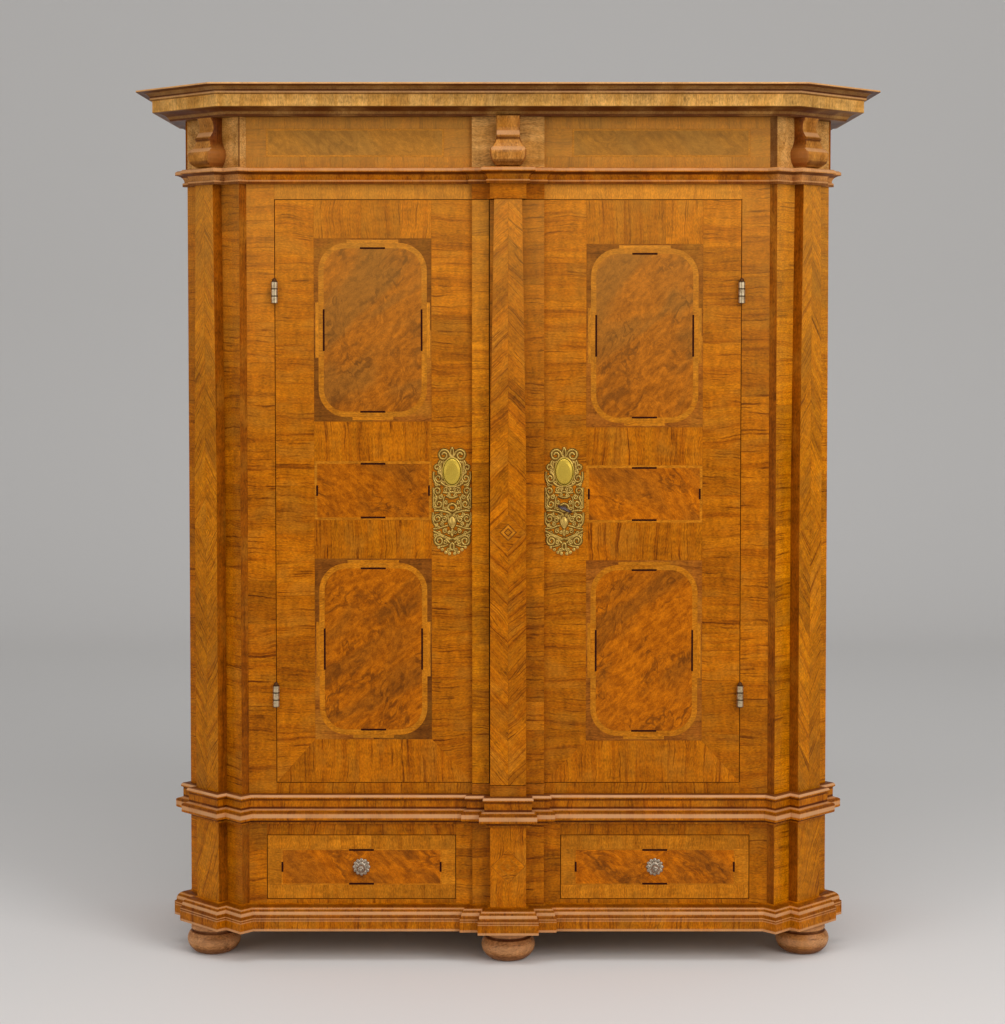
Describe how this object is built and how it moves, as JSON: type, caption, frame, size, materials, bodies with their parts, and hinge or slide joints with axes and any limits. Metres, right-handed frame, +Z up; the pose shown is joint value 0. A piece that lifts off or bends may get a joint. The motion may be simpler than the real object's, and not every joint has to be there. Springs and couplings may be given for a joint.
{
  "type": "hall cupboard",
  "caption": "Baroque walnut hall cupboard with hinged doors over drawers, canted corners with pilasters, mitred mouldings, scroll consoles and bun feet.",
  "frame": {"origin": "middle of the cupboard's bounding box on the floor, under the feet", "axes": "+Z up, +X to the right seen from the front, +Y to the back; the doors face -Y"},
  "size_m": [1.69, 0.625, 1.97],
  "materials": {
    "walnut_veneer": "satin varnish",
    "solid_walnut": "satin varnish",
    "pine_carcase": "planed, oiled",
    "brass": "aged, cast and pierced",
    "pewter": "worn, cast",
    "wrought_iron": "filed and waxed"
  },
  "bodies": {
    "carcase": {"front_feet": "solid_walnut", "rear_feet": "solid_walnut", "base_floor_board": "pine_carcase", "base_top_board": "pine_carcase", "base_walls": "pine_carcase", "base_piers": "walnut_veneer", "base_pilasters": "walnut_veneer", "drawer_frame": "walnut_veneer", "drawer_runners": "pine_carcase", "drawer_partition": "pine_carcase", "case_sub_frame": "pine_carcase", "case_floor_board": "pine_carcase", "case_top_board": "pine_carcase", "sill_rail": "walnut_veneer", "head_rail": "walnut_veneer", "corner_pier_left": "walnut_veneer", "corner_pier_right": "walnut_veneer", "corner_pilaster_left": "walnut_veneer", "corner_pilaster_right": "walnut_veneer", "side_frame_left": "pine_carcase", "side_frame_right": "pine_carcase", "back_boards": "pine_carcase", "shelves": "pine_carcase", "shelf_battens": "pine_carcase", "centre_blocks": "walnut_veneer", "door_stops": "pine_carcase", "frieze_boards": "walnut_veneer", "frieze_blocks": "walnut_veneer", "consoles": "solid_walnut", "plinth_moulding": "solid_walnut", "waist_moulding": "solid_walnut", "architrave_moulding": "solid_walnut", "cornice_moulding": "solid_walnut", "dust_board": "pine_carcase", "frame_knuckles": "wrought_iron", "hinge_pins": "wrought_iron", "front_stiles": "walnut_veneer"},
    "left_door": {"left_door_leaf": "walnut_veneer", "left_meeting_strip": "walnut_veneer", "left_brass_plate": "brass", "left_door_knuckles": "wrought_iron", "lock_keeper": "wrought_iron", "bolt_guides": "wrought_iron"},
    "right_door": {"right_door_leaf": "walnut_veneer", "right_meeting_plate": "walnut_veneer", "centre_pilaster": "walnut_veneer", "right_brass_plate": "brass", "right_door_knuckles": "wrought_iron", "lock_case": "wrought_iron"},
    "left_drawer": {"left_drawer_front": "walnut_veneer", "left_drawer_box": "pine_carcase", "left_drawer_knob": "pewter"},
    "right_drawer": {"right_drawer_front": "walnut_veneer", "right_drawer_box": "pine_carcase", "right_drawer_knob": "pewter"},
    "key": {"key": "wrought_iron"},
    "lock_bolt": {"lock_bolt": "wrought_iron"},
    "upper_bolt": {"upper_shoot_bolt": "wrought_iron"},
    "lower_bolt": {"lower_shoot_bolt": "wrought_iron"}
  },
  "joints": [
    {"name": "right_door_hinge", "type": "hinge", "parent": "carcase", "child": "right_door", "pos_m": [0.52275, -0.2155, 1], "axis": [0, 0, 1], "range_deg": [0, 110]},
    {"name": "left_door_hinge", "type": "hinge", "parent": "carcase", "child": "left_door", "pos_m": [-0.52275, -0.2155, 1], "axis": [0, 0, -1], "range_deg": [0, 110]},
    {"name": "left_drawer_slide", "type": "slide", "parent": "carcase", "child": "left_drawer", "axis": [0, -1, 0], "range_m": [0, 0.3]},
    {"name": "right_drawer_slide", "type": "slide", "parent": "carcase", "child": "right_drawer", "axis": [0, -1, 0], "range_m": [0, 0.3]},
    {"name": "key_turn", "type": "hinge", "parent": "right_door", "child": "key", "pos_m": [0.126, -0.2075, 1.03], "axis": [0, 1, 0], "range_deg": [0, 90]},
    {"name": "lock_bolt_slide", "type": "slide", "parent": "right_door", "child": "lock_bolt", "axis": [-1, 0, 0], "range_m": [0, 0.022]},
    {"name": "upper_bolt_slide", "type": "slide", "parent": "left_door", "child": "upper_bolt", "axis": [0, 0, 1], "range_m": [0, 0.014]},
    {"name": "lower_bolt_slide", "type": "slide", "parent": "left_door", "child": "lower_bolt", "axis": [0, 0, -1], "range_m": [0, 0.014]}
  ],
  "couplings": [
    {"joint": "key_turn", "follows": "lock_bolt_slide", "rad_per_m": 71.3}
  ]
}
